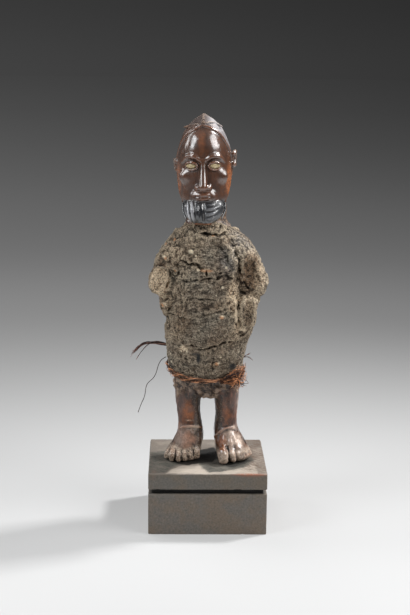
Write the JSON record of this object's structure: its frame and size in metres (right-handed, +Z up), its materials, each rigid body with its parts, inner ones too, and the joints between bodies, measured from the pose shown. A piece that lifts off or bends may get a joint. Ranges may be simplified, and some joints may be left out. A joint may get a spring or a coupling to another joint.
{
  "type": "bembe figure",
  "caption": "Small carved standing figure with pointed hairdo and beard, a cracked earth charge round its trunk, a raffia hip cord and loose fibres, on a grooved wooden base.",
  "frame": {"origin": "centre of the underside of the base", "axes": "+Z up, the figure looks along -Y, +X is to the right in the picture"},
  "size_m": [0.0868, 0.07, 0.262],
  "materials": {
    "base_wood": "matte",
    "carved_wood": "satin",
    "inlay": "satin",
    "crust": "matte",
    "raffia": "matte",
    "dark_fibre": "matte",
    "grey_thread": "matte"
  },
  "bodies": {
    "root": {"base": "base_wood", "carved_figure": "carved_wood", "left_eye_inlay": "inlay", "right_eye_inlay": "inlay", "charge_pack": "crust", "hip_cord": "raffia", "side_sprig": "dark_fibre", "side_wisp": "dark_fibre", "hanging_thread": "grey_thread"}
  },
  "joints": []
}
